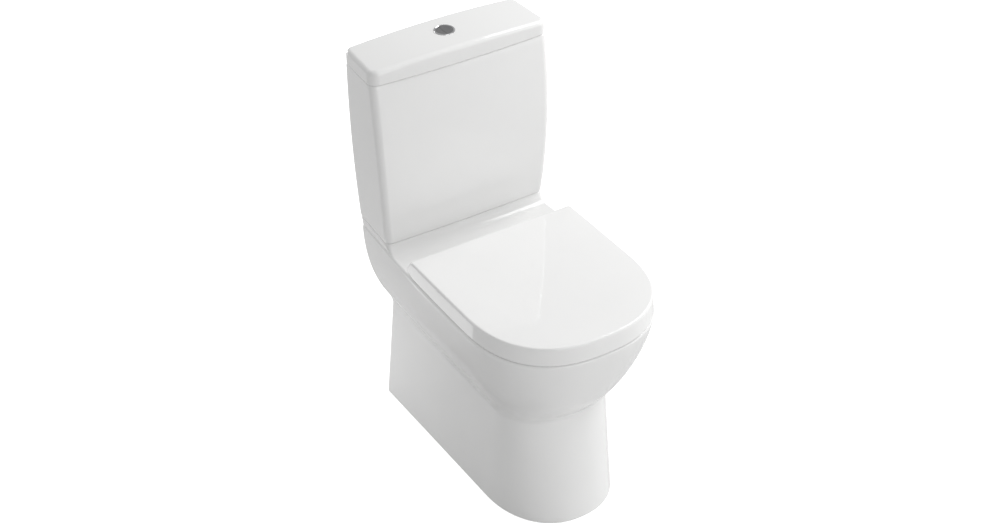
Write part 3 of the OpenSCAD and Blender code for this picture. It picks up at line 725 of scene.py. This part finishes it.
SHELLS = {
    "pan": (make_pan, "toilet"),
    "cistern": (make_cistern, "toilet"),
    "cistern_lid": (make_cistern_lid, "toilet"),
    "seat_lid": (make_seat_lid, "lid"),
    "seat_ring": (make_seat_ring, "ring"),
}
slot_of = {part["node"]: part["material_slot"] for part in frame["record"]["subparts"]}
for node, (make, body) in SHELLS.items():
    piece = make()
    finish_as(piece, slot_of[node])
    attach(piece, body)
    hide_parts(node)
for node, obj in frame["nodes"].items():
    if node not in SHELLS:
        for material_slot in obj.material_slots:
            material_slot.material = FINISHES[slot_of[node]]


# ---- Floor, light and camera ----

def make_floor():
    """Large pale sheet under the toilet. The camera sees it lit up to the white of the surround."""
    half = 14
    bm = bmesh.new()
    bmesh.ops.create_grid(bm, x_segments=8, y_segments=8, size=half)
    mesh = bpy.data.meshes.new("floor")
    bm.to_mesh(mesh)
    bm.free()
    floor = bpy.data.objects.new("floor", mesh)
    floor.location.z = -0.0002
    bpy.context.scene.collection.objects.link(floor)
    mat = material("pale_floor", (0.65, 0.65, 0.65), 0.9, mottle=0.004, grain=0.0)
    nodes, links = mat.node_tree.nodes, mat.node_tree.links
    shader = nodes["Principled BSDF"]
    shader.inputs["Specular IOR Level"].default_value = 0.0
    shader.inputs["Emission Color"].default_value = (1, 1, 1, 1)
    path = nodes.new("ShaderNodeLightPath")
    glow = nodes.new("ShaderNodeMath")
    glow.operation = "MULTIPLY"
    glow.inputs[1].default_value = 0.82
    links.new(path.outputs["Is Camera Ray"], glow.inputs[0])
    links.new(glow.outputs[0], shader.inputs["Emission Strength"])
    mesh.materials.append(mat)


def make_world(strength):
    """Even soft surround; the camera sees it as plain white."""
    world = bpy.data.worlds.new("studio")
    bpy.context.scene.world = world
    world.use_nodes = True
    nodes, links = world.node_tree.nodes, world.node_tree.links
    nodes.clear()
    out = nodes.new("ShaderNodeOutputWorld")
    lit = nodes.new("ShaderNodeBackground")
    lit.inputs["Color"].default_value = (1, 1, 1, 1)
    lit.inputs["Strength"].default_value = strength
    plain = nodes.new("ShaderNodeBackground")
    plain.inputs["Color"].default_value = (1, 1, 1, 1)
    path = nodes.new("ShaderNodeLightPath")
    mix = nodes.new("ShaderNodeMixShader")
    links.new(path.outputs["Is Camera Ray"], mix.inputs[0])
    links.new(lit.outputs[0], mix.inputs[1])
    links.new(plain.outputs[0], mix.inputs[2])
    links.new(mix.outputs[0], out.inputs["Surface"])


def soft_light(name, place, aim, size, power):
    data = bpy.data.lights.new(name, "AREA")
    data.shape = "RECTANGLE"
    data.size, data.size_y = size
    data.energy = power
    lamp = bpy.data.objects.new(name, data)
    lamp.location = place
    lamp.rotation_mode = "QUATERNION"
    lamp.rotation_quaternion = (Vector(aim) - Vector(place)).to_track_quat("-Z", "Y")
    lamp.visible_camera = False
    bpy.context.scene.collection.objects.link(lamp)


def make_camera():
    """Camera at the photographed angle: 32.35 degrees round to the left and 35.6 degrees up."""
    data = bpy.data.cameras.new("camera")
    data.sensor_width = 36
    data.lens = 71.86
    camera = bpy.data.objects.new("camera", data)
    aim = Vector((0.0989, 0.2090, 0.2760))
    azimuth, elevation, distance = math.radians(-32.35), math.radians(35.6), 3.9016
    back = Vector((math.sin(azimuth) * math.cos(elevation), -math.cos(azimuth) * math.cos(elevation),
                   math.sin(elevation)))
    camera.location = aim + back * distance
    camera.rotation_mode = "QUATERNION"
    camera.rotation_quaternion = (-back).to_track_quat("-Z", "Y")
    bpy.context.scene.collection.objects.link(camera)
    bpy.context.scene.camera = camera


make_floor()
make_world(0.518)
MIDDLE = (0, 0, 0.4)
soft_light("right_high", (2.263, 0, 2.663), MIDDLE, (2, 2), 68)
soft_light("front_right_low", (2.228, -2.228, 0.956), MIDDLE, (2, 2), 11.5)
soft_light("front_low", (0, -3.13, 1.065), MIDDLE, (2, 2), 17)
soft_light("rear_left_low", (-1.084, 2.978, 0.845), MIDDLE, (1.2, 1.2), 22)
soft_light("rear_left_near", (-0.4, 0.36, 0.08), (-0.1, 0.22, 0.1), (0.35, 0.15), 0.2)
make_camera()
bpy.context.scene.view_settings.view_transform = "Standard"
